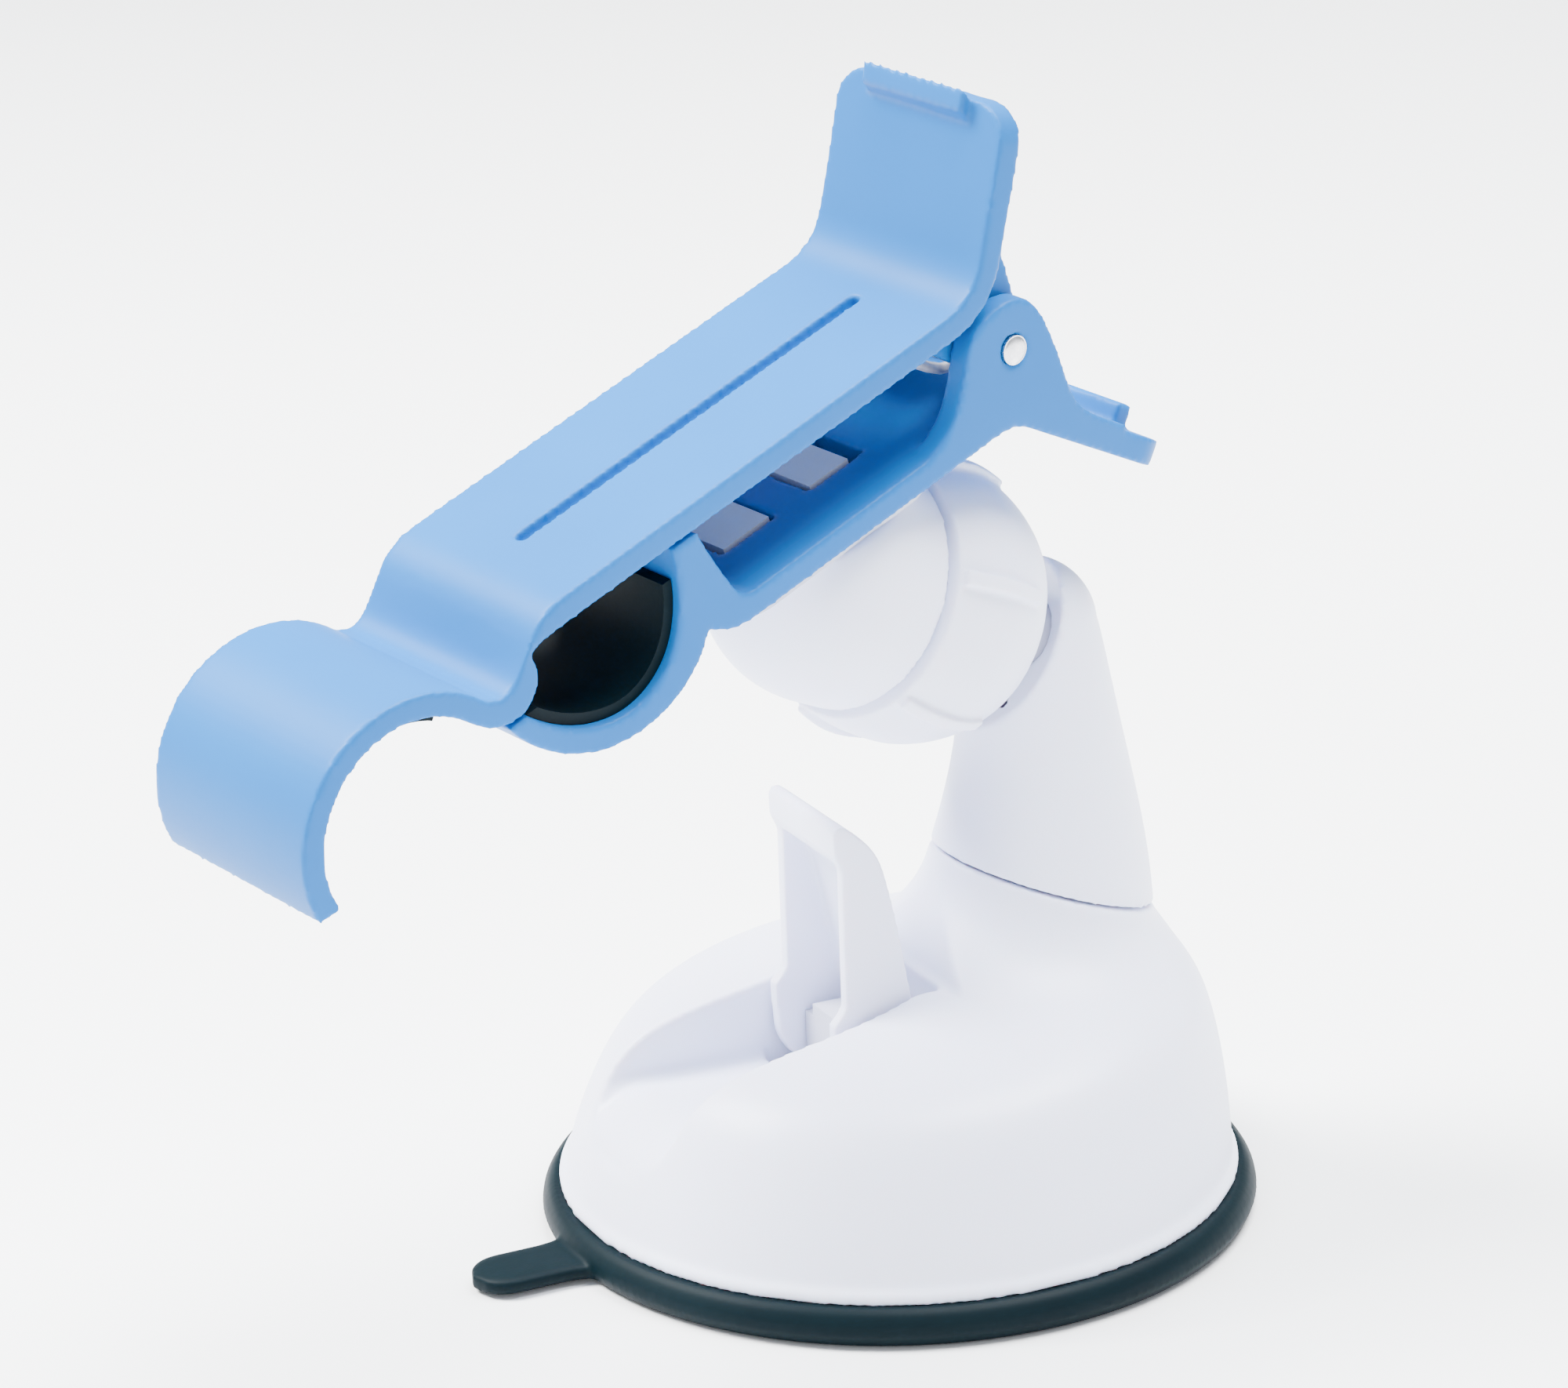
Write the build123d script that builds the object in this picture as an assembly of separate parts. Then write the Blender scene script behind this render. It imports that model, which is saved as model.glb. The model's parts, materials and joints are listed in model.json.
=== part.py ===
from build123d import *
from math import atan2, cos, degrees, radians, sin
import os

# Suction-cup stand with a spring clip for a phone.
#
# Frame: millimetres, +Z up from the suction face, origin at the centre of that face. The lever and
# the pull tab are on the -Y side and the neck leans towards +Y. The base and the arm are symmetrical
# about X = 0. The clip sits on the ball joint, turned a little about Z and rolled a little about its
# own length, and everything on it is drawn in its own frame: X across, Y towards the hinge, Z up
# from the clip's plate.

os.makedirs("parts", exist_ok=True)

# ---------------------------------------------------------------- driving dimensions
PAD_R = 39.7            # rubber suction pad
PAD_RIM_H = 4.2
PAD_SKIN = 2.2          # thin middle of the pad
PAD_STEP_R = 24.0
TAB_REACH = 51.2        # pull tab's end, from the axis
TAB_WIDTH = 8.0
TAB_THICK = 2.0
TAB_ANGLE = -90.0       # direction of the tab about +Z, from +X

LIP_R = 37.7            # housing's bottom lip
WALL = 2.4

PIVOT_Y = -4.6          # lever pivot
PIVOT_Z = 19.8
LEVER_WIDTH = 16.4
LEVER_WALL = 1.6
LEVER_TURN = 88.0       # degrees from open to shut
CAM_REACH = 4.6         # pivot to cam face with the lever open
CAM_RISE = 1.8          # how far closing the lever lifts the stem
SLOT_WIDTH = 17.8
WASHER_T = 0.5
GAP = 0.1               # between parts that run on each other

STEM_R = 3.2
DISC_R = 20.0
DISC_T = 1.8
PLATE_Z = 10.0          # guide plate that closes the housing
PLATE_T = 2.0
PLATE_R = 30.0

SEAM_Y = 18.7           # swivel between housing and arm
SEAM_Z = 34.8
SEAM_TILT = 19.6        # lean of the swivel axis towards the back
SEAM_R = 12.9
SPIGOT_R = 5.0

BALL_Y = 2.4            # ball joint centre
BALL_Z = 69.3
BALL_R = 8.5
BALL_STEM_R = 3.5
BALL_STEM_PITCH = 22.0
BALL_STEM_LENGTH = 21.0
LINER_OUT_R = 9.7       # ball liners are spherical shells round the ball

HEAD_YAW = 13.0         # clip's turn about Z
HEAD_PITCH = 20.7       # clip plate rises towards the back
HEAD_ROLL = 4.3         # and is a little lower on the +X side
SOCKET_TILT = 45.0      # socket axis from the plate's normal
SOCKET_R = 13.6
BARREL_R = 12.4
RIM_T = 6.7             # height of the nut's front edge along the socket axis
DOME_T = 11.9           # height of the centre of the socket's round end
NUT_R = 15.7            # nut's round back, centred on the ball
NUT_FRONT_R = 14.4
NUT_BACK_T = -8.8
NUT_RIDGE = 0.8

CLIP_WIDTH = 25.6
PIN_Y = 13.84           # clip hinge, from the ball centre in the clip's own frame
PIN_Z = 27.24
PIN_R = 1.6
EAR_R = 5.3
EAR_T = 2.9
PLATE_TOP = 8.15        # upper plate faces, from the hinge pin
PLATE_UNDER = 5.25
FLOOR_TOP = -5.1        # lower plate faces
FLOOR_UNDER = -8.0
LIP_LEAN = 59.0         # lip from the plate
LIP_LENGTH = 16.6
TAIL_LEAN = 45.0
TAIL_LENGTH = 24.2
CORNER_R = 4.5          # outer corners of lip and tail
HOOK_Y = -83.6
HOOK_Z = -4.2
HOOK_OUT_R = 13.8
HOOK_IN_R = 11.2

# ---------------------------------------------------------------- placing
BALL = Location((0, BALL_Y, BALL_Z))
CLIP = BALL * Rot(0, 0, HEAD_YAW) * Rot(HEAD_PITCH, 0, 0) * Rot(0, HEAD_ROLL, 0)
SOCKET = CLIP * Rot(SOCKET_TILT, 0, 0)
HINGE = CLIP * Pos(0, PIN_Y, PIN_Z)
SWIVEL = Pos(0, SEAM_Y, SEAM_Z) * Rot(-SEAM_TILT, 0, 0)
STEM_OUT = BALL * Rot(-90 - BALL_STEM_PITCH, 0, 0)


def side_plane(x):
    """Sketch plane at X = x whose own axes are Y and Z."""
    return Plane(origin=(x, 0, 0), x_dir=(0, 1, 0), z_dir=(1, 0, 0))


def slab(outline, x_low, x_high):
    """Solid between two X planes with a closed outline drawn in Y, Z."""
    face = make_face(side_plane(x_low) * outline)
    return extrude(face, amount=x_high - x_low, dir=(1, 0, 0))


def both_sides(shape):
    return shape + mirror(shape, about=Plane.YZ)


def revolved(outline):
    """Solid of revolution about Z from an outline drawn in X, Z."""
    return revolve(make_face(Plane.XZ * outline), axis=Axis.Z)


def cylinder_x(radius, x_low, x_high, y=0.0, z=0.0):
    plane = Plane(origin=(x_low, y, z), x_dir=(0, 1, 0), z_dir=(1, 0, 0))
    return extrude(plane * Circle(radius), amount=x_high - x_low)


def cylinder_z(radius, z_low, z_high, x=0.0, y=0.0):
    return extrude(Plane(origin=(x, y, z_low)) * Circle(radius), amount=z_high - z_low)


def box(x_low, x_high, y_low, y_high, z_low, z_high):
    size = (x_high - x_low, y_high - y_low, z_high - z_low)
    centre = ((x_low + x_high) / 2, (y_low + y_high) / 2, (z_low + z_high) / 2)
    return Location(centre) * Box(*size)


def save(name, shape):
    export_step(shape, f"parts/{name}.step")


def group(solids):
    return Compound(children=[s.solid() for s in solids])


# ---------------------------------------------------------------- base
def suction_pad():
    rim, edge = PAD_RIM_H, PAD_R - 1.6
    outline = Polyline((0, 0), (PAD_R - 1.2, 0))
    outline += Spline((PAD_R - 1.2, 0), (PAD_R, 1.7), (edge, rim), tangents=[(1, 0.15), (-1, 0.25)])
    outline += Polyline((edge, rim), (PAD_STEP_R, rim), (PAD_STEP_R, PAD_SKIN), (0, PAD_SKIN), (0, 0))
    pad = revolved(outline)
    blade = extrude(SlotOverall(2 * TAB_REACH, TAB_WIDTH), amount=TAB_THICK)
    blade &= box(PAD_R - 4, TAB_REACH + 1, -TAB_WIDTH, TAB_WIDTH, 0, TAB_THICK)
    return pad + Rot(0, 0, TAB_ANGLE) * Pos(0, 0, 0.4) * blade


# Housing sections from lip to seam: front point and back point of each circle, as y and z.
HOUSING_SECTIONS = [
    ((-37.0, 5.6), (37.0, 5.6)),
    ((-35.9, 9.0), (36.9, 9.0)),
    ((-34.4, 12.8), (36.6, 13.0)),
    ((-32.3, 16.8), (36.0, 17.6)),
    ((-29.2, 20.4), (35.2, 21.6)),
    ((-24.0, 22.8), (34.3, 24.4)),
    ((-16.5, 24.4), (33.2, 26.4)),
    ((-8.5, 26.1), (32.3, 27.9)),
    ((-1.8, 28.9), (31.8, 28.8)),
    ((3.9, 33.8), (31.2, 29.7)),
]
ARM_SECTIONS = [
    (18.8, 41.8, 11.2, 6.0),
    (18.7, 49.8, 9.5, 0.0),
    (18.3, 56.7, 8.4, -4.0),
    (17.7, 63.2, 7.6, -6.0),
]
ARM_TOP = (17.5, 63.9, 7.6)
SEAM = (SEAM_Y, SEAM_Z, SEAM_R, SEAM_TILT)


def tilted_circle(y, z, radius, tilt):
    plane = Plane(origin=(0, y, z), x_dir=(1, 0, 0), z_dir=(0, sin(radians(tilt)), cos(radians(tilt))))
    return plane * Circle(radius)


def neck_flat():
    """Cutter that flattens the front of the neck behind the lever."""
    outline = Polyline(NECK_FLAT_FOOT, (6.3, 38.6), (-12, 38.6), (-12, NECK_FLAT_FOOT[1]), NECK_FLAT_FOOT)
    return slab(outline, -14, 14)


def skin(sections, inset=0.0):
    """Smooth loft through the section circles, each moved in by inset."""
    return loft([tilted_circle(y, z, radius - inset, tilt) for y, z, radius, tilt in sections])


def section(front, back):
    """Centre, radius and tilt of the circle between a front point and a back point."""
    y, z = (front[0] + back[0]) / 2, (front[1] + back[1]) / 2
    across = Vector(back[0] - front[0], back[1] - front[1], 0)
    return (y, z, across.length / 2, -degrees(atan2(across.Y, across.X)))


def housing_sections():
    return [section(front, back) for front, back in HOUSING_SECTIONS] + [SEAM]


def housing_outer():
    lip = cylinder_z(LIP_R, PAD_RIM_H, HOUSING_SECTIONS[0][0][1])
    lip = fillet(lip.edges().group_by(Axis.Z)[-1], 0.6)
    return skin(housing_sections()) + lip - neck_flat()


PIT_FLOOR = PIVOT_Z - CAM_REACH - GAP - WASHER_T
PIT_FRONT = -12.0
PIT_BACK = 1.2
NECK_FLAT_FOOT = (1.9, 27.7)
TRAY_FLOOR = 16.3
FLOOR_FILLET = 1.6


def slot_cut():
    """Lever recess: a deep pit round the cam, a shallow tray in front and a thumb scoop."""
    half = SLOT_WIDTH / 2
    brink, scoop_end = (-26.5, TRAY_FLOOR), (-34.6, 11.2)
    pit = box(-half, half, PIT_FRONT, PIT_BACK, PIT_FLOOR, 60)
    outline = Polyline((PIT_BACK, 60), (PIT_BACK, TRAY_FLOOR), brink)
    outline += Spline(brink, (-31.6, 14.6), scoop_end, tangents=[(-1, 0), (-0.3, -1)])
    outline += Polyline(scoop_end, (-46, 11.2), (-46, 60), (PIT_BACK, 60))
    tray = slab(outline, -half, half)
    floor_edges = tray.edges().filter_by(lambda e: abs(abs(e.center().X) - half) < 0.01 and e.center().Z < 30
                                         and -40 < e.center().Y < PIT_BACK - 1)
    return fillet(floor_edges, FLOOR_FILLET) + pit


BOSS_ANGLES = (55.0, 125.0, 235.0, 305.0)
BOSS_RING_R = 26.0
SCREW_HOLE_R = 1.1


def base_housing():
    outer = housing_outer()
    drop = WALL * 0.9
    inner = skin([(y, z - drop, radius, tilt) for y, z, radius, tilt in housing_sections()], WALL)
    inner += cylinder_z(LIP_R - WALL - 0.7, 0, HOUSING_SECTIONS[0][0][1] - drop + 0.2)
    shell = outer - inner
    half = SLOT_WIDTH / 2 + 2.0
    tray = box(-half, half, -40, PIT_BACK + 2.0, PLATE_Z + PLATE_T + 0.2, 45) & outer
    shell += tray
    for angle in BOSS_ANGLES:
        x, y = BOSS_RING_R * cos(radians(angle)), BOSS_RING_R * sin(radians(angle))
        boss = cylinder_z(3.2, PLATE_Z + PLATE_T, 40, x, y) & outer
        shell += boss - cylinder_z(SCREW_HOLE_R, 0, PLATE_Z + PLATE_T + 5, x, y)
    neck = SWIVEL * cylinder_z(SEAM_R - WALL - 0.5, -7.0, -3.0) & outer
    shell += neck
    shell -= SWIVEL * cylinder_z(SPIGOT_R + 0.06, -12, 2)
    shell -= slot_cut()
    shell -= cylinder_z(STEM_R + GAP, 0, 30, 0, PIVOT_Y)
    return shell.solids().sort_by(SortBy.VOLUME)[-1]


def guide_plate():
    plate = cylinder_z(PLATE_R, PLATE_Z, PLATE_Z + PLATE_T)
    plate -= cylinder_z(STEM_R + GAP, 0, 30, 0, PIVOT_Y)
    for angle in BOSS_ANGLES:
        x, y = BOSS_RING_R * cos(radians(angle)), BOSS_RING_R * sin(radians(angle))
        plate -= cylinder_z(SCREW_HOLE_R + 0.3, 0, 30, x, y)
    return plate


def plate_screws():
    screws = []
    for angle in BOSS_ANGLES:
        x, y = BOSS_RING_R * cos(radians(angle)), BOSS_RING_R * sin(radians(angle))
        head = cylinder_z(2.2, PLATE_Z - 1.4, PLATE_Z, x, y)
        screws.append(head + cylinder_z(SCREW_HOLE_R, PLATE_Z, PLATE_Z + PLATE_T + 4.5, x, y))
    return group(screws)


def cam_washer():
    half = SLOT_WIDTH / 2 - 0.3
    low, high = PIT_FLOOR, PIT_FLOOR + WASHER_T
    washer = box(-half, half, PIT_FRONT + 0.4, PIT_BACK - 0.4, low, high)
    return washer - cylinder_z(STEM_R + 0.4, 0, 40, 0, PIVOT_Y)


LEVER_PIN_R = 1.5
RUNNING_FIT = 0.05
STEM_STEP = 6.3          # half width of the stem head's step, between the lever's walls


def suction_stem():
    disc = cylinder_z(DISC_R, PAD_SKIN, PAD_SKIN + DISC_T, 0, PIVOT_Y / 2)
    post = cylinder_z(STEM_R, PAD_SKIN, PIVOT_Z + 3.2, 0, PIVOT_Y)
    post &= cylinder_z(STEM_R, 0, PIVOT_Z - 3.6, 0, PIVOT_Y)
    head = box(-4.4, 4.4, PIVOT_Y - STEM_R, PIVOT_Y + STEM_R, PIVOT_Z - 3.6, PIVOT_Z + 3.2)
    collar = box(-STEM_STEP, STEM_STEP, PIVOT_Y - STEM_R, PIVOT_Y + STEM_R, PIVOT_Z - 3.6, PIVOT_Z + 1.8)
    return disc + post + head + collar - cylinder_x(LEVER_PIN_R + RUNNING_FIT, -9, 9, PIVOT_Y, PIVOT_Z)


def lever_pin():
    return cylinder_x(LEVER_PIN_R, -LEVER_WIDTH / 2 + 0.2, LEVER_WIDTH / 2 - 0.2, PIVOT_Y, PIVOT_Z)


def coil(radius, wire, height, turns, start):
    """Round-wire coil standing on z = start."""
    path = Helix(pitch=(height - wire) / turns, height=height - wire, radius=radius)
    path = Location((0, 0, start + wire / 2)) * path
    section = Plane(origin=path @ 0, z_dir=path % 0) * Circle(wire / 2)
    return sweep(section, path=path)


def return_spring():
    low, high = PAD_SKIN + DISC_T + 0.05, PLATE_Z - 0.05
    return Pos(0, PIVOT_Y, 0) * coil(6.5, 0.9, high - low, 3, low)


# ---------------------------------------------------------------- lever
def cam_point(angle):
    """Point of the cam outline that touches a flat floor once the lever has turned by an angle."""
    turned = radians(angle)
    slope = CAM_RISE / radians(LEVER_TURN)
    reach = CAM_REACH + slope * turned
    y = -reach * sin(turned) - slope * cos(turned)
    z = -reach * cos(turned) + slope * sin(turned)
    return (PIVOT_Y + y, PIVOT_Z + z)


LEVER_FRONT = PIVOT_Y - 5.1


def lever():
    """U-shaped lever, open at the front, with a cam at the foot of each side wall."""
    cam = [cam_point(a) for a in (0, 22, 44, 66, LEVER_TURN)]
    tip = (LEVER_FRONT - 0.9, 47.0)
    back_low = (PIVOT_Y + 4.2, PIVOT_Z + 2.0)
    side = Spline(*cam)
    side += Polyline(cam[-1], (cam[-1][0] - 0.16, PIVOT_Z + 5.4), (LEVER_FRONT, PIVOT_Z + 7.2),
                     (LEVER_FRONT, 42.8), (LEVER_FRONT - 0.8, 44.6), tip)
    side += ThreePointArc(tip, (-10.2, 47.7), (-9.3, 47.8))
    side += Spline((-9.3, 47.8), (-7.4, 46.2), (-5.6, 44.0), (-4.4, 40.6), (-2.8, 32.7), back_low)
    side += Spline(back_low, cam[0], tangents=[(0.1, -1), (-1, 0)])
    half = LEVER_WIDTH / 2
    inner = half - LEVER_WALL
    body = slab(side, -half, half)
    hollow = Polyline((-30, 10), (-30, 43.4), (-9.6, 43.4), (-7.6, 42.2), (-6.3, 39.6), (-4.8, 32.5),
                      (-3.2, 26.0), (-3.2, 10), (-30, 10))
    body -= slab(hollow, -inner, inner)
    body -= box(-inner, inner, -30, 6, 0, PIVOT_Z + 5.4)
    return body - cylinder_x(LEVER_PIN_R, -9, 9, PIVOT_Y, PIVOT_Z)


# ---------------------------------------------------------------- arm
def arm_shell():
    y, z, radius = ARM_TOP
    body = skin([SEAM] + ARM_SECTIONS) + Pos(0, y, z) * Sphere(radius)
    body -= BALL * Sphere(NUT_R + NUT_RIDGE + 0.7)
    body -= SWIVEL * cylinder_z(60, -60, 0.25)
    body -= SWIVEL * cylinder_z(SPIGOT_R, -1, 9.0)
    body -= skin(ARM_SECTIONS[:3], WALL + 0.4)
    body -= STEM_OUT * cylinder_z(BALL_STEM_R, 0, BALL_STEM_LENGTH + 0.2)
    return body.solids().sort_by(SortBy.VOLUME)[-1]


def swivel_spigot():
    spigot = cylinder_z(SPIGOT_R, -9.0, 8.9)
    spigot -= cylinder_z(1.2, -9.1, 0)
    return SWIVEL * spigot


def wave_washer():
    ring = cylinder_z(8.2, -7.9, -7.1) - cylinder_z(SPIGOT_R + 0.2, -9, 0)
    return SWIVEL * ring


def swivel_screw():
    head = cylinder_z(7.4, -10.4, -9.0)
    return SWIVEL * (head + cylinder_z(1.2, -9.0, -2.0))


def ball_stud():
    return STEM_OUT * (Sphere(BALL_R) + cylinder_z(BALL_STEM_R, 0, BALL_STEM_LENGTH))


# ---------------------------------------------------------------- head
def sphere_band(low_angle, high_angle):
    """Spherical shell round the ball between two angles from the socket axis."""
    inner, outer = BALL_R + GAP, LINER_OUT_R
    low, high = radians(low_angle), radians(high_angle)
    middle = (low + high) / 2
    points = [[(r * sin(a), r * cos(a)) for a in (low, middle, high)] for r in (inner, outer)]
    outline = ThreePointArc(*points[0]) + ThreePointArc(*points[1])
    outline += Line(points[0][0], points[1][0]) + Line(points[0][2], points[1][2])
    return SOCKET * revolved(outline)


def ball_liner_back():
    return sphere_band(104, 127)


def ball_liner_front():
    return sphere_band(18, 60)


def head_socket():
    bulb = cylinder_z(SOCKET_R, RIM_T + 0.7, DOME_T) + Location((0, 0, DOME_T)) * Sphere(SOCKET_R)
    bulb &= cylinder_z(SOCKET_R + 1, RIM_T + 0.7, 60)
    barrel = cylinder_z(BARREL_R, 0.6, RIM_T + 0.7)
    body = SOCKET * (bulb + barrel - Sphere(LINER_OUT_R + GAP))
    body -= CLIP * box(-40, 40, -60, 60, PIN_Z + FLOOR_UNDER - 2.2, 60)
    for y in SCREW_YS:
        body -= CLIP * cylinder_z(1.0, ADAPTER_LOW - 5, ADAPTER_LOW + 1, 0, y)
    return body


def clamp_nut():
    """Ring nut: near-straight front, round back, thin grip ridges."""
    front, back = RIM_T, NUT_BACK_T
    widest = -1.5
    def on_back(t):
        return ((NUT_R ** 2 - t ** 2) ** 0.5, t)
    outline = Spline((NUT_FRONT_R, front), (NUT_R - 0.25, 2.0), on_back(widest), tangents=[(0.3, -1), (0, -1)])
    outline += ThreePointArc(on_back(widest), on_back((widest + back) / 2), on_back(back))
    bore = BARREL_R + GAP
    mouth = 10.6
    outline += Polyline(on_back(back), (mouth, back), (mouth - 1.2, -6.4), (7.7, -6.4), (7.7, 0.0),
                        (bore, 0.0), (bore, front), (NUT_FRONT_R, front))
    nut = revolved(outline) - Sphere(LINER_OUT_R + GAP)
    band = (Sphere(NUT_R + NUT_RIDGE) & cylinder_z(NUT_R + 2, back + 3.5, front - 0.4)) - Sphere(NUT_R - 0.8)
    for turn in range(20, 380, 60):
        bar = box(NUT_R - 4, NUT_R + 2, -0.8, 0.8, back + 3.5, front - 0.4)
        nut += band & Rot(0, 0, turn) * bar
    return SOCKET * nut


ADAPTER_LOW = PIN_Z + FLOOR_UNDER - 2.2
SCREW_YS = (-11.9, -1.2)
LUGS = ((-35.6, -29.2), (-23.3, -17.8))      # from the hinge pin
WINDOWS = ((-36.3, -28.8), (-23.9, -15.9))
WINDOW_HALF = 4.4
LUG_HALF = 3.8
LUG_TOP = PIN_Z + FLOOR_TOP - 0.1


def adapter_plate():
    plate = box(-10, 10, -26, 2.0, ADAPTER_LOW, ADAPTER_LOW + 2.15)
    plate = fillet(plate.edges().filter_by(Axis.Z), 4)
    for low, high in LUGS:
        plate += box(-LUG_HALF, LUG_HALF, PIN_Y + low, PIN_Y + high, ADAPTER_LOW + 2, LUG_TOP)
    for y in SCREW_YS:
        plate -= cylinder_z(1.3, 0, 60, 0, y)
        plate -= cylinder_z(2.3, ADAPTER_LOW + 1.0, 60, 0, y)
    return CLIP * plate


def adapter_screws():
    screws = []
    for y in SCREW_YS:
        head = cylinder_z(2.1, ADAPTER_LOW + 1.0, ADAPTER_LOW + 2.0, 0, y)
        screws.append(CLIP * (head + cylinder_z(1.0, ADAPTER_LOW - 4.5, ADAPTER_LOW + 1.0, 0, y)))
    return group(screws)


# ---------------------------------------------------------------- clip: lower jaw
HALF = CLIP_WIDTH / 2
POCKET_OUT = [(-70.7, -1.0), (-66.9, -6.6), (-62.6, -9.6), (-56.2, -11.0), (-49.6, -9.4), (-45.6, -5.7)]
POCKET_IN = [(-68.3, -1.0), (-64.8, -4.9), (-60.6, -7.4), (-56.2, -8.1), (-51.0, -5.9), (-47.9, -1.2),
             (-46.6, 4.9)]


TAIL_BEND = (-2.2, FLOOR_UNDER)
THICK = 2.9
TAIL = Pos(0, *TAIL_BEND) * Rot(-TAIL_LEAN, 0, 0)       # Y out along the tail's underside, Z up from it


def round_corners(length):
    """Cutters for the two outer corners of a tongue that ends at y = length."""
    block = box(0, CORNER_R + 1, 0, CORNER_R + 1, -5, 10)
    cutter = block - cylinder_z(CORNER_R, -6, 11)
    cutter = Pos(HALF - CORNER_R, length - CORNER_R, 0) * cutter
    return both_sides(cutter)


def lower_plate():
    """Pocket, plate and tail as one band of constant section."""
    c, s = cos(radians(TAIL_LEAN)), sin(radians(TAIL_LEAN))
    end = (TAIL_BEND[0] + TAIL_LENGTH * c, TAIL_BEND[1] - TAIL_LENGTH * s)
    top_end = (end[0] + THICK * s, end[1] + THICK * c)
    top_bend = (TAIL_BEND[0] + 1.2, FLOOR_TOP)
    ease = 2.5
    ease_start = (TAIL_BEND[0] - ease, FLOOR_UNDER)
    ease_end = (TAIL_BEND[0] + ease * c, TAIL_BEND[1] - ease * s)
    outline = Spline(*POCKET_OUT)
    outline += Spline(POCKET_OUT[-1], (-43.4, -7.2), (-40.2, FLOOR_UNDER), tangents=[(0.5, -0.5), (1, 0)])
    outline += Line((-40.2, FLOOR_UNDER), ease_start)
    outline += Spline(ease_start, ease_end, tangents=[(1, 0), (c, -s)])
    outline += Polyline(ease_end, end, top_end, top_bend, (-38.8, FLOOR_TOP))
    outline += Spline((-38.8, FLOOR_TOP), (-41.4, -2.6), (-43.3, 4.9), tangents=[(-1, 0), (-0.2, 1)])
    outline += Line((-43.3, 4.9), POCKET_IN[-1])
    outline += Spline(*reversed(POCKET_IN))
    outline += Line(POCKET_IN[0], POCKET_OUT[0])
    return slab(outline, -HALF, HALF)


def lower_ear():
    outline = Spline((-17.0, FLOOR_TOP - 0.4), (-10.6, -3.6), (-6.8, 1.0), (0, EAR_R + 0.1),
                     tangents=[(1, 0.1), (1, 0)])
    outline += Spline((0, EAR_R + 0.1), (4.9, 1.0), (5.8, -8.0), (11.6, -16.9), tangents=[(1, 0), (1, -0.95)])
    outline += Polyline((11.6, -16.9), (10.2, -18.6), (-1.2, FLOOR_UNDER + 0.6), (-17.0, FLOOR_UNDER + 0.6),
                        (-17.0, FLOOR_TOP - 0.4))
    return slab(outline, HALF - EAR_T, HALF)


def lower_jaw():
    jaw = lower_plate() + both_sides(lower_ear())
    for low, high in WINDOWS:
        jaw -= box(-WINDOW_HALF, WINDOW_HALF, low, high, -20, 0)
    jaw += TAIL * box(-HALF + 4.6, HALF - 4.6, TAIL_LENGTH - 5.4, TAIL_LENGTH - 3.2, THICK - 0.5, THICK + 2.6)
    jaw -= TAIL * round_corners(TAIL_LENGTH)
    jaw -= cylinder_x(PIN_R, -20, 20)
    jaw -= box(-HALF + EAR_T, HALF - EAR_T, -7.5, 7.5, -4.8, 7.5)
    return HINGE * jaw


def jaw_liner():
    """Rubber lining of the pocket, a thin band inside the lower jaw."""
    inner = [(-66.4, -1.6), (-63.8, -4.1), (-60.2, -6.2), (-56.2, -6.9), (-52.0, -5.1), (-49.2, -1.2),
             (-48.4, 1.4)]
    outer = [(-67.9, -1.6), (-64.8, -4.9), (-60.6, -7.4), (-56.2, -8.1), (-51.0, -5.9), (-47.9, -1.2),
             (-47.3, 1.4)]
    outline = Spline(*inner) + Line(inner[-1], outer[-1]) + Spline(*reversed(outer)) + Line(outer[0], inner[0])
    band = slab(outline, -HALF + 1.2, HALF - 1.2)
    return HINGE * (band - lower_plate())


# ---------------------------------------------------------------- clip: upper jaw
UPPER_EAR_OUT = HALF - EAR_T - 0.35
UPPER_EAR_T = 2.4


def hook_point(radius, angle):
    """Point of the hook's circle, in degrees from -Y towards +Z."""
    a = radians(angle)
    return (HOOK_Y - radius * cos(a), HOOK_Z + radius * sin(a))


LIP_BEND = 7.0
LIP_CENTRE = (-6.9, PLATE_TOP + LIP_BEND)
# Y up along the lip's front face from the end of its bend, Z out of that face.
LIP = Pos(0, *LIP_CENTRE) * Rot(LIP_LEAN, 0, 0) * Pos(0, 0, -LIP_BEND)


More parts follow.
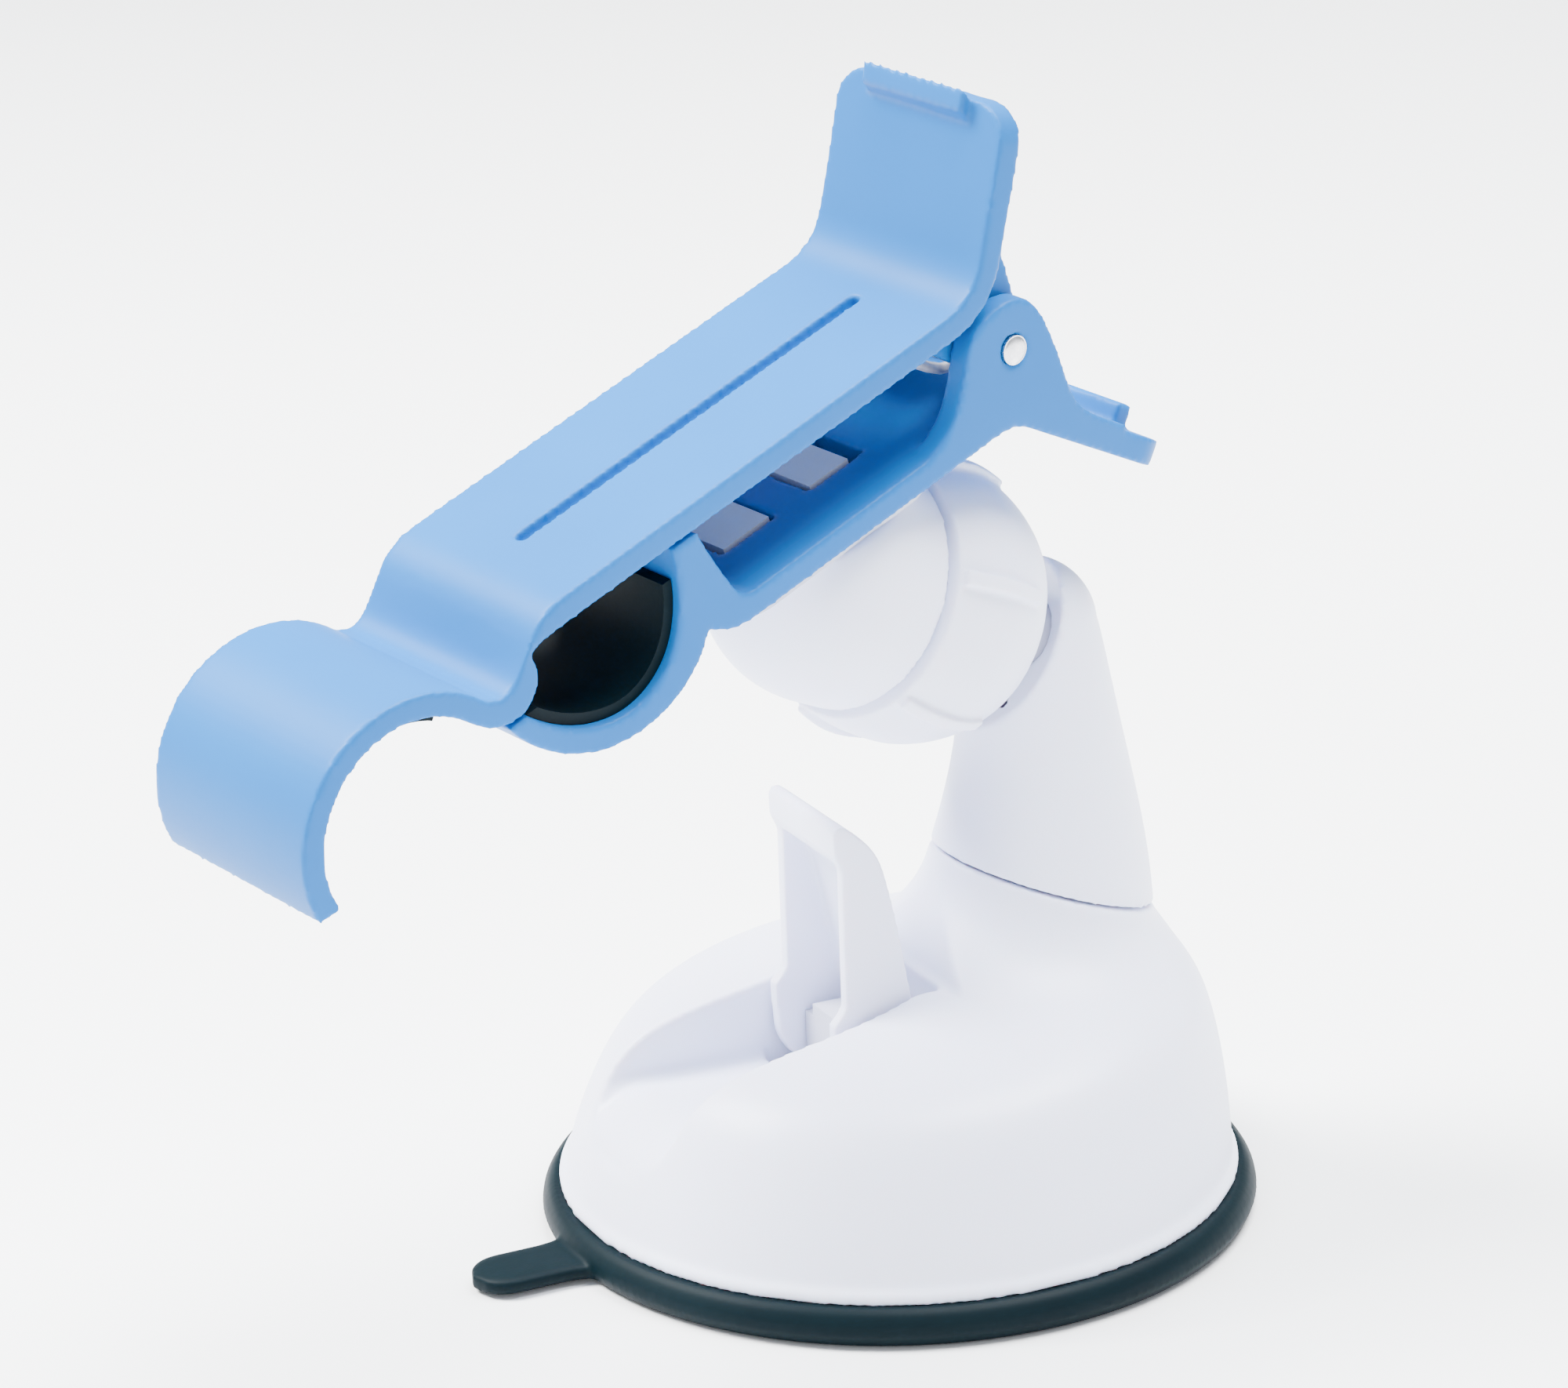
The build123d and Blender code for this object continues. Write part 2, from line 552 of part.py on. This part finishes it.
def upper_plate():
    """Lip, plate, roll and hook as one band of constant section."""
    lean = radians(LIP_LEAN)
    centre = LIP_CENTRE
    def on_bend(radius, a):
        return (centre[0] + radius * sin(a), centre[1] - radius * cos(a))
    front_foot, back_foot = on_bend(LIP_BEND, lean), on_bend(LIP_BEND + THICK, lean)
    run = (LIP_LENGTH * cos(lean), LIP_LENGTH * sin(lean))
    front_top = (front_foot[0] + run[0], front_foot[1] + run[1])
    back_top = (back_foot[0] + run[0], back_foot[1] + run[1])
    roll_start, crease = (-59.6, PLATE_TOP), (-70.3, 2.5)
    hook_start = hook_point(HOOK_OUT_R, 146)
    tip_out, tip_in = hook_point(HOOK_OUT_R, -9), hook_point(HOOK_IN_R, -12)
    under_hook = hook_point(HOOK_IN_R, 142)
    outline = Line(back_top, front_top) + Line(front_top, front_foot)
    outline += ThreePointArc(front_foot, on_bend(LIP_BEND, lean / 2), (centre[0], PLATE_TOP))
    outline += Line((centre[0], PLATE_TOP), roll_start)
    outline += Spline(roll_start, (-65.0, 6.2), (-68.2, 3.2), crease, tangents=[(-1, 0), (-1, -0.1)])
    outline += Spline(crease, (-71.6, 3.2), hook_start, tangents=[(-1, 0.1), (-0.56, 0.83)])
    outline += ThreePointArc(hook_start, hook_point(HOOK_OUT_R, 70), tip_out)
    outline += Line(tip_out, tip_in)
    outline += ThreePointArc(tip_in, hook_point(HOOK_IN_R, 65), under_hook)
    outline += Spline(under_hook, (-71.2, -0.4), (-69.4, -0.65), (-67.9, -0.4), (-65.4, 3.0),
                      (-60.6, PLATE_UNDER), tangents=[(0.62, -0.78), (1, 0)])
    outline += Line((-60.6, PLATE_UNDER), (centre[0], PLATE_UNDER))
    outline += ThreePointArc((centre[0], PLATE_UNDER), on_bend(LIP_BEND + THICK, lean / 2), back_foot)
    outline += Line(back_foot, back_top)
    return slab(outline, -HALF, HALF)


def upper_ear():
    outline = ThreePointArc((-4.4, -0.6), (0.5, -4.45), (4.4, 0.6))
    outline += Polyline((4.4, 0.6), (4.2, 14.0), (1.0, 10.4), (-3.5, 6.4), (-9.5, PLATE_UNDER + 0.6),
                        (-9.5, PLATE_UNDER), (-4.4, -0.6))
    return slab(outline, UPPER_EAR_OUT - UPPER_EAR_T, UPPER_EAR_OUT)


def upper_jaw():
    jaw = upper_plate() + both_sides(upper_ear())
    groove = box(-0.7, 0.7, -55.8, -8.2, PLATE_TOP - 1.4, PLATE_TOP + 1)
    jaw -= groove
    jaw += LIP * box(-HALF + 5.0, HALF - 5.0, LIP_LENGTH - 2.9, LIP_LENGTH - 0.5, -0.5, 1.5)
    jaw -= LIP * round_corners(LIP_LENGTH)
    jaw -= cylinder_x(PIN_R + 0.06, -20, 20)
    return HINGE * jaw


def hook_pad():
    """Thin rubber pad inside the hook."""
    inner, outer = HOOK_IN_R - 0.9, HOOK_IN_R
    low, middle, high = 40, 85, 128
    outline = ThreePointArc(*[hook_point(outer, a) for a in (low, middle, high)])
    outline += ThreePointArc(*[hook_point(inner, a) for a in (low, middle, high)])
    outline += Line(hook_point(outer, low), hook_point(inner, low))
    outline += Line(hook_point(outer, high), hook_point(inner, high))
    return HINGE * slab(outline, -HALF + 2, HALF - 2)


def hinge_pin():
    return HINGE * cylinder_x(PIN_R, -HALF - 0.2, HALF + 0.2)


def torsion_spring():
    wire, radius = 1.2, 3.0
    turns = Rot(0, 90, 0) * coil(radius, wire, 8.4, 6, -4.2)
    return HINGE * turns


NODES = {
    "suction_pad": suction_pad,
    "base_housing": base_housing,
    "guide_plate": guide_plate,
    "plate_screws": plate_screws,
    "cam_washer": cam_washer,
    "suction_stem": suction_stem,
    "lever_pin": lever_pin,
    "return_spring": return_spring,
    "lever": lever,
    "arm_shell": arm_shell,
    "swivel_spigot": swivel_spigot,
    "wave_washer": wave_washer,
    "swivel_screw": swivel_screw,
    "ball_stud": ball_stud,
    "ball_liner_back": ball_liner_back,
    "ball_liner_front": ball_liner_front,
    "head_socket": head_socket,
    "clamp_nut": clamp_nut,
    "adapter_plate": adapter_plate,
    "adapter_screws": adapter_screws,
    "lower_jaw": lower_jaw,
    "jaw_liner": jaw_liner,
    "hinge_pin": hinge_pin,
    "torsion_spring": torsion_spring,
    "upper_jaw": upper_jaw,
    "hook_pad": hook_pad,
}

for node_name, make in NODES.items():
    save(node_name, make())
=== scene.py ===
# Looks for the suction-cup stand with a spring clip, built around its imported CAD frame.
#
# Sizes in the tables and calls below are millimetres unless a name says otherwise, and mm() turns
# them into Blender's metres. The row frame is used throughout: +Z up from the suction face, -Y
# towards the lever, +Y towards the neck.

import json
from math import cos, pi, radians, sin

import bmesh
import bpy
from mathutils import Matrix, Vector


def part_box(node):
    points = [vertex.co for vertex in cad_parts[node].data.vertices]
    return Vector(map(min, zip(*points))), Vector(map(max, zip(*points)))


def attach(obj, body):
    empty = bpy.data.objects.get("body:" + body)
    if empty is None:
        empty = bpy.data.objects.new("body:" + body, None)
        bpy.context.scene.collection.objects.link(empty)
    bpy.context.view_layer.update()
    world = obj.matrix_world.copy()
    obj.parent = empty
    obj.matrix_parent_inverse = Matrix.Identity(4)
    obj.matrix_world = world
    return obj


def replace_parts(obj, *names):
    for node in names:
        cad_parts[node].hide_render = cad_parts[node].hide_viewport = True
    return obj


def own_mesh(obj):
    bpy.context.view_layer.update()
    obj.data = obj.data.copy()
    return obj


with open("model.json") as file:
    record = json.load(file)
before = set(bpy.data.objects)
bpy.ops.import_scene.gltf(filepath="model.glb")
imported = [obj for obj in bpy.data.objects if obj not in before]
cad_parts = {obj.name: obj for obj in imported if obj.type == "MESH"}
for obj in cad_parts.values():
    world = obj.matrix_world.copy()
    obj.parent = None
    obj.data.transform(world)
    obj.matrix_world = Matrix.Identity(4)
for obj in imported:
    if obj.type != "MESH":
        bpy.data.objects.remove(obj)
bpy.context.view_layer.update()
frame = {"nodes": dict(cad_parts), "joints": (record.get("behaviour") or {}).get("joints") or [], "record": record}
scene = bpy.context.scene

MM = 0.001
JOINTS = {joint["name"]: joint for joint in frame["joints"]}


def mm(*values):
    return Vector([value * MM for value in values])


# ---------------------------------------------------------------- camera, floor and light
def set_camera():
    """Looks down at the stand from its +X, -Y side with a long lens."""
    right = Vector((0.4324, 0.9011, -0.0335))
    up = Vector((-0.2707, 0.1651, 0.9484))
    back = right.cross(up)
    turn = Matrix((right, up, back)).transposed().to_4x4()
    data = bpy.data.cameras.new("photo_camera")
    data.sensor_width = 36.0
    data.lens = 114.4
    data.clip_start = 0.01
    data.clip_end = 60.0
    camera = bpy.data.objects.new("photo_camera", data)
    camera.matrix_world = Matrix.Translation(mm(457.1, -225.1, 228.5)) @ turn
    scene.collection.objects.link(camera)
    scene.camera = camera


WORLD_STRENGTH = 1.0
WORLD_COLOUR = (0.93, 0.95, 1.0, 1)
FLOOR_SIZE = 24.0
AIM = Vector((0, 0, 0.06))
# name: place in metres, disc size in metres, watts, colour
LIGHTS = {
    "key": ((-0.35, -0.55, 0.95), 0.55, 60.0, (1.0, 0.99, 0.97)),
    "top": ((0.05, 0.25, 1.1), 0.8, 54.0, (0.98, 0.99, 1.0)),
    "fill": ((0.9, -0.35, 0.35), 0.6, 1.5, (0.95, 0.97, 1.0)),
}


def add_light(name, place, size, watts, colour):
    data = bpy.data.lights.new(name, "AREA")
    data.shape = "DISK"
    data.size = size
    data.energy = watts
    data.color = colour
    light = bpy.data.objects.new(name, data)
    light.location = place
    light.rotation_euler = (AIM - Vector(place)).to_track_quat("-Z", "Y").to_euler()
    scene.collection.objects.link(light)


def set_stage():
    world = bpy.data.worlds.new("studio")
    world.use_nodes = True
    background = world.node_tree.nodes["Background"]
    background.inputs["Color"].default_value = WORLD_COLOUR
    background.inputs["Strength"].default_value = WORLD_STRENGTH
    scene.world = world
    bpy.ops.mesh.primitive_plane_add(size=FLOOR_SIZE, location=(0, 0, 0))
    floor = bpy.context.object
    floor.name = "studio_floor"
    floor.data.materials.append(floor_material())
    for name, (place, size, watts, colour) in LIGHTS.items():
        add_light(name, place, size, watts, colour)


# ---------------------------------------------------------------- materials
class Shader:
    """A material's node tree with short calls for the nodes used here."""

    def __init__(self, name):
        self.material = bpy.data.materials.new(name)
        self.material.use_nodes = True
        self.tree = self.material.node_tree
        self.surface = self.tree.nodes["Principled BSDF"]
        self.place = self.add("ShaderNodeTexCoord").outputs["Object"]

    def add(self, kind, **settings):
        node = self.tree.nodes.new(kind)
        for key, value in settings.items():
            setattr(node, key, value)
        return node

    def link(self, source, target):
        self.tree.links.new(source, target)

    def set(self, **values):
        for key, value in values.items():
            self.surface.inputs[key.replace("_", " ")].default_value = value

    def noise(self, scale, detail=3.0, roughness=0.55):
        node = self.add("ShaderNodeTexNoise")
        node.inputs["Scale"].default_value = scale
        node.inputs["Detail"].default_value = detail
        node.inputs["Roughness"].default_value = roughness
        self.link(self.place, node.inputs["Vector"])
        return node.outputs["Fac"]

    def ramp(self, factor, *stops):
        node = self.add("ShaderNodeValToRGB")
        while len(node.color_ramp.elements) < len(stops):
            node.color_ramp.elements.new(0.5)
        for element, (position, colour) in zip(node.color_ramp.elements, stops):
            element.position = position
            element.color = (*colour, 1)
        self.link(factor, node.inputs["Fac"])
        return node.outputs["Color"]

    def spread(self, factor, low, high):
        node = self.add("ShaderNodeMapRange")
        node.inputs["To Min"].default_value = low
        node.inputs["To Max"].default_value = high
        self.link(factor, node.inputs["Value"])
        return node.outputs["Result"]

    def bump(self, height, distance, strength=1.0, base=None):
        node = self.add("ShaderNodeBump")
        node.inputs["Distance"].default_value = distance
        node.inputs["Strength"].default_value = strength
        self.link(height, node.inputs["Height"])
        if base is not None:
            self.link(base, node.inputs["Normal"])
        return node.outputs["Normal"]

    def finish(self, colour, rough, normal):
        self.link(colour, self.surface.inputs["Base Color"])
        self.link(rough, self.surface.inputs["Roughness"])
        self.link(normal, self.surface.inputs["Normal"])
        return self.material


def plastic(name, deep, plain, rough, gloss=0.4, glow=0.0, glow_radius=(1, 1, 1)):
    """Satin injection-moulded plastic: faint flow mottling, fine orange peel and a soft scuff."""
    shader = Shader(name)
    flow = shader.noise(38.0, 2.0)
    colour = shader.ramp(flow, (0.3, deep), (0.7, plain))
    peel = shader.noise(1400.0, 2.0)
    scuff = shader.noise(160.0, 6.0, 0.7)
    roughness = shader.spread(scuff, rough - 0.05, rough + 0.07)
    normal = shader.bump(scuff, 0.00002, 0.5, shader.bump(peel, 0.00001, 0.6))
    shader.set(Subsurface_Weight=glow, Subsurface_Radius=glow_radius, Subsurface_Scale=0.0015,
               Specular_IOR_Level=gloss)
    return shader.finish(colour, roughness, normal)


def rubber(name):
    """Smooth dark teal rubber with faint mould swirls and a soft sheen."""
    shader = Shader(name)
    cloud = shader.noise(60.0, 4.0)
    colour = shader.ramp(cloud, (0.25, (0.0002, 0.004, 0.0065)), (0.75, (0.0005, 0.007, 0.010)))
    grain = shader.noise(2200.0, 3.0)
    roughness = shader.spread(cloud, 0.5, 0.6)
    shader.set(Specular_IOR_Level=0.08)
    return shader.finish(colour, roughness, shader.bump(grain, 0.000015, 0.6))


def metal(name, dark, bright, rough, stretch=(1, 1, 1)):
    """Plated or drawn steel with fine directional scratches."""
    shader = Shader(name)
    mapping = shader.add("ShaderNodeMapping")
    mapping.inputs["Scale"].default_value = stretch
    shader.link(shader.place, mapping.inputs["Vector"])
    shader.place = mapping.outputs["Vector"]
    scratch = shader.noise(900.0, 6.0, 0.7)
    colour = shader.ramp(scratch, (0.3, dark), (0.7, bright))
    shader.set(Metallic=1.0)
    roughness = shader.spread(scratch, rough, rough + 0.15)
    return shader.finish(colour, roughness, shader.bump(scratch, 0.00001, 0.4))


def floor_material():
    shader = Shader("studio_paper")
    cloud = shader.noise(3.0, 3.0)
    colour = shader.ramp(cloud, (0.3, (0.86, 0.875, 0.885)), (0.7, (0.88, 0.895, 0.905)))
    fibre = shader.noise(700.0, 4.0)
    shader.set(Specular_IOR_Level=0.1)
    return shader.finish(colour, shader.spread(cloud, 0.75, 0.85), shader.bump(fibre, 0.00003, 0.3))


WHITE = plastic("white_moulding", (0.75, 0.78, 0.96), (0.77, 0.80, 0.98), 0.36,
                glow=0.3, glow_radius=(1.0, 0.45, 0.4))
BLUE = plastic("blue_moulding", (0.0008, 0.108, 0.355), (0.001, 0.118, 0.385), 0.42, gloss=0.12)
# Inner plastic: its own pale grey-white with faint mottling, set darker and bluer as painted shade and painted
# blue bounce light for the parts inside the clip's cavity.
SHADED_INNER_PLASTIC = plastic("inner_plastic_painted_shade", (0.50, 0.51, 0.60), (0.56, 0.57, 0.66), 0.45)
RUBBER = rubber("teal_rubber")
STEEL = metal("plated_steel", (0.52, 0.53, 0.56), (0.80, 0.80, 0.82), 0.2)
WIRE = metal("spring_wire", (0.74, 0.72, 0.74), (0.92, 0.90, 0.91), 0.5, stretch=(1, 1, 0.2))
SLOT_MATERIALS = {
    "white_plastic": WHITE,
    "blue_plastic": BLUE,
    "inner_plastic": SHADED_INNER_PLASTIC,
    "rubber": RUBBER,
    "steel": STEEL,
    "spring_steel": WIRE,
}
NODE_SLOTS = {part["node"]: part["material_slot"] for part in frame["record"]["subparts"]}
NODE_BODIES = {
    node: body for body, nodes in frame["record"]["behaviour"]["bodies"].items() for node in nodes
}


def dress_cad_nodes():
    """Gives every CAD node the material of its slot."""
    for name, node in frame["nodes"].items():
        node.data.materials.clear()
        node.data.materials.append(SLOT_MATERIALS[NODE_SLOTS[name]])


# ---------------------------------------------------------------- mesh tools
def new_piece(name, mesh, node):
    """Links a finished mesh as a piece with its node's body, slot and material."""
    piece = bpy.data.objects.new(name, mesh)
    scene.collection.objects.link(piece)
    mesh.materials.clear()
    mesh.materials.append(SLOT_MATERIALS[NODE_SLOTS[node]])
    for polygon in mesh.polygons:
        polygon.use_smooth = True
    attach(piece, NODE_BODIES[node])
    return piece


def applied(mesh, modifiers):
    """The mesh after a list of (kind, settings) modifiers."""
    holder = bpy.data.objects.new("holder", mesh)
    scene.collection.objects.link(holder)
    for kind, settings in modifiers:
        modifier = holder.modifiers.new(kind.lower(), kind)
        for key, value in settings.items():
            setattr(modifier, key, value)
    graph = bpy.context.evaluated_depsgraph_get()
    result = bpy.data.meshes.new_from_object(holder.evaluated_get(graph))
    bpy.data.objects.remove(holder)
    return result


def moulded(mesh, voxel, rounds):
    """One closed skin round all the mesh's shells, with every edge eased as a mould leaves it."""
    skin = ("REMESH", {"mode": "VOXEL", "voxel_size": voxel * MM, "adaptivity": 0.0})
    ease = ("SMOOTH", {"factor": 0.5, "iterations": rounds})
    return applied(mesh, [skin, ease])


def eased_piece(node, name, voxel, rounds, reshape):
    """Replaces a CAD node by the same shape with moulded, softened edges."""
    mesh = frame["nodes"][node].data.copy()
    if reshape:
        reshape(mesh)
    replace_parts(new_piece(name, moulded(mesh, voxel, rounds), node), node)


def mesh_from(rings):
    """Closed skin over a list of rings, each a list of points with the same count."""
    work = bmesh.new()
    rows = [[work.verts.new(point) for point in ring] for ring in rings]
    count = len(rings[0])
    for first, second in zip(rows, rows[1:]):
        for i in range(count):
            j = (i + 1) % count
            work.faces.new((first[i], first[j], second[j], second[i]))
    work.faces.new(list(reversed(rows[0])))
    work.faces.new(rows[-1])
    bmesh.ops.recalc_face_normals(work, faces=work.faces)
    mesh = bpy.data.meshes.new("skin")
    work.to_mesh(mesh)
    work.free()
    return mesh


def revolved(profile, segments):
    """Solid of revolution about Z from (radius, height) points, with flat caps on its first and last ring."""
    rings = []
    for radius, height in profile:
        turns = (2 * pi * i / segments for i in range(segments))
        rings.append([mm(radius * cos(a), radius * sin(a), height) for a in turns])
    return mesh_from(rings)


def joined(*meshes):
    work = bmesh.new()
    for mesh in meshes:
        work.from_mesh(mesh)
    result = bpy.data.meshes.new("joined")
    work.to_mesh(result)
    work.free()
    return result


def wire(points, radius, resolution):
    """Round wire along points in metres, as a mesh with domed ends."""
    curve = bpy.data.curves.new("wire", "CURVE")
    curve.dimensions = "3D"
    curve.bevel_depth = radius * MM
    curve.bevel_resolution = resolution
    curve.use_fill_caps = True
    spline = curve.splines.new("NURBS")
    spline.points.add(len(points) - 1)
    for target, point in zip(spline.points, points):
        target.co = (*point, 1)
    spline.order_u = 4
    spline.use_endpoint_u = True
    spline.resolution_u = 4
    holder = bpy.data.objects.new("wire", curve)
    scene.collection.objects.link(holder)
    graph = bpy.context.evaluated_depsgraph_get()
    mesh = bpy.data.meshes.new_from_object(holder.evaluated_get(graph))
    bpy.data.objects.remove(holder)
    return mesh


# ---------------------------------------------------------------- rubber pad
PAD_R = 39.7
TAB_REACH = 51.2
TAB_HALF = 4.0


def pad_disc():
    """Suction pad with a rolled rim, a shallow dish underneath and two sealing ridges."""
    under = [(20, 0.5), (26, 0.35), (30, 0.0), (30.8, 0.0), (31.5, 0.35), (34.5, 0.3), (36, 0.0)]
    rim = [(38.3, 0.0), (39.2, 0.5), (PAD_R, 1.6), (39.5, 2.7), (38.9, 3.7), (38.2, 4.2), (36.5, 4.2)]
    top = [(24.6, 4.2), (24.0, 3.7), (23.6, 2.2)]
    return revolved(under + rim + top, 144)


def pad_tab():
    """Pull tab: a flat tongue with a round end that swells where it meets the rim."""
    rings = []
    steps = 22
    start = 35.0
    for i in range(steps + 1):
        along = i / steps
        reach = start + (TAB_REACH - start) * along
        past = max(0.0, reach - (TAB_REACH - TAB_HALF))
        half = (TAB_HALF ** 2 - past ** 2) ** 0.5 if past < TAB_HALF else 0.25
        half = max(half, 0.25) + 3.4 * max(0.0, 1 - (reach - start) / 7.5) ** 2
        low, high = 0.35, 2.35 - 0.35 * (past / TAB_HALF) ** 2
        middle, lift = (low + high) / 2, (high - low) / 2
        ring = []
        for k in range(24):
            a = 2 * pi * k / 24
            x = half * abs(cos(a)) ** 0.45 * (1 if cos(a) >= 0 else -1)
            z = middle + lift * abs(sin(a)) ** 0.6 * (1 if sin(a) >= 0 else -1)
            ring.append(mm(x, -reach, z))
        rings.append(ring)
    return mesh_from(rings)


def build_pad():
    mesh = moulded(joined(pad_disc(), pad_tab()), 0.32, 3)
    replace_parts(new_piece("suction_pad_moulding", mesh, "suction_pad"), "suction_pad")


# ---------------------------------------------------------------- springs
def build_return_spring():
    """Coil under the guide plate, which the lever squeezes as it lifts the stem; here it is built at one fixed
    length to fill the CAD spring's box.
    """
    low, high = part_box("return_spring")
    centre = (low + high) / 2 / MM
    wire_r, turns = 0.45, 4.0
    radius = (high.x - low.x) / 2 / MM - wire_r
    bottom, top = low.z / MM + wire_r, high.z / MM - wire_r
    count = 96
    points = []
    for i in range(count + 1):
        a = 2 * pi * turns * i / count
        rise = min(1.0, max(0.0, (i / count - 0.12) / 0.76))
        height = bottom + (top - bottom) * rise
        points.append(mm(centre.x + radius * cos(a), centre.y + radius * sin(a), height))
    spring = new_piece("return_spring_coil", wire(points, wire_r, 4), "return_spring")
    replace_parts(spring, "return_spring")
    height = (high.z - low.z) / MM
    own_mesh(spring)


# The clip's own axes: X along the hinge pin, Z up from its plate.
PIN = Vector(JOINTS["jaw_open"]["pos_m"])
ACROSS = -Vector(JOINTS["jaw_open"]["axis"]).normalized()
SOCKET_AXIS = Vector(JOINTS["head_spin"]["axis"]).normalized()
SOCKET_TILT = 45.0
CLIP_UP = Matrix.Rotation(radians(-SOCKET_TILT), 3, ACROSS) @ SOCKET_AXIS
CLIP_BACK = CLIP_UP.cross(ACROSS)


def at_pin(x, y, z):
    """Point in the clip's axes, counted from the middle of the hinge pin."""
    return PIN + (ACROSS * x + CLIP_BACK * y + CLIP_UP * z) * MM


LIP_LEAN = 59.0
LIP_LENGTH = 16.6
LIP_BEND = 7.0              # radius between the plate and the lip's front face
LIP_CENTRE = (-6.9, 15.15)  # centre of that bend, from the hinge pin
LIP_FOOT = (
    LIP_CENTRE[0] + LIP_BEND * sin(radians(LIP_LEAN)),
    LIP_CENTRE[1] - LIP_BEND * cos(radians(LIP_LEAN)),
)
LIP_ALONG = (CLIP_BACK * cos(radians(LIP_LEAN)) + CLIP_UP * sin(radians(LIP_LEAN))).normalized()
LIP_OUT = ACROSS.cross(LIP_ALONG).normalized()


def raise_grip_bar(mesh):
    """Leans the lip's grip bar up over the lip's top edge and lowers that edge a little."""
    start, behind, bar_front = 10.0, -4.0, 0.4
    bar_rise, edge_drop = 0.75, 0.8
    foot = at_pin(0, *LIP_FOOT)
    for vertex in mesh.vertices:
        place = (vertex.co - foot) / MM
        along, out = place.dot(LIP_ALONG), place.dot(LIP_OUT)
        if along < start or out < behind:
            continue
        if out > bar_front:
            shift = bar_rise
        else:
            shift = -edge_drop * (along - start) / (LIP_LENGTH - start)
        vertex.co += LIP_ALONG * shift * MM


def build_torsion_spring():
    """Clip spring: coils round the hinge pin, with a leg to each jaw."""
    wire_r, radius, turns, half = 0.6, 3.0, 6.5, 4.3
    start = radians(205)
    count = 130
    points = [at_pin(-half - 1.2, -10.5, -4.3), at_pin(-half - 0.6, -7.5, -3.9)]
    for i in range(count + 1):
        a = start + 2 * pi * turns * i / count
        points.append(at_pin(-half + 2 * half * i / count, radius * cos(a), radius * sin(a)))
    points += [at_pin(half + 0.8, -2.6, -3.1), at_pin(half + 2.4, -5.4, -1.2), at_pin(half + 2.9, -9.4, 2.9)]
    mesh = wire(points, wire_r, 5)
    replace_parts(new_piece("torsion_spring_wire", mesh, "torsion_spring"), "torsion_spring")


def build_pin_heads():
    """Domed rivet heads on the ends of the hinge pin."""
    low, high = 12.75, 13.0
    profile = [(1.55, -0.2), (1.62, -0.05), (1.55, 0.1), (1.2, 0.24), (0.6, 0.32)]
    head = revolved(profile, 48)
    turn = Matrix((CLIP_UP, CLIP_BACK, ACROSS)).transposed().to_4x4()
    for side, name in ((1, "hinge_pin_head"), (-1, "hinge_pin_far_head")):
        mesh = head.copy()
        flip = Matrix.Rotation(0 if side > 0 else pi, 4, "X")
        mesh.transform(Matrix.Translation(at_pin(side * (low + high) / 2, 0, 0)) @ turn @ flip)
        new_piece(name, mesh, "hinge_pin")


# ---------------------------------------------------------------- build
# node: piece name, voxel in millimetres, rounds of smoothing, change of shape before them
MOULDINGS = {
    "base_housing": ("base_housing_moulding", 0.42, 5, None),
    "lever": ("lever_moulding", 0.3, 4, None),
    "arm_shell": ("arm_moulding", 0.4, 5, None),
    "head_socket": ("socket_moulding", 0.38, 4, None),
    "clamp_nut": ("clamp_nut_moulding", 0.26, 2, None),
    "lower_jaw": ("lower_jaw_moulding", 0.36, 5, None),
    "upper_jaw": ("upper_jaw_moulding", 0.34, 4, raise_grip_bar),
}

set_camera()
set_stage()
dress_cad_nodes()
build_pad()
for node, (piece_name, voxel, rounds, reshape) in MOULDINGS.items():
    eased_piece(node, piece_name, voxel, rounds, reshape)
build_return_spring()
build_torsion_spring()
build_pin_heads()
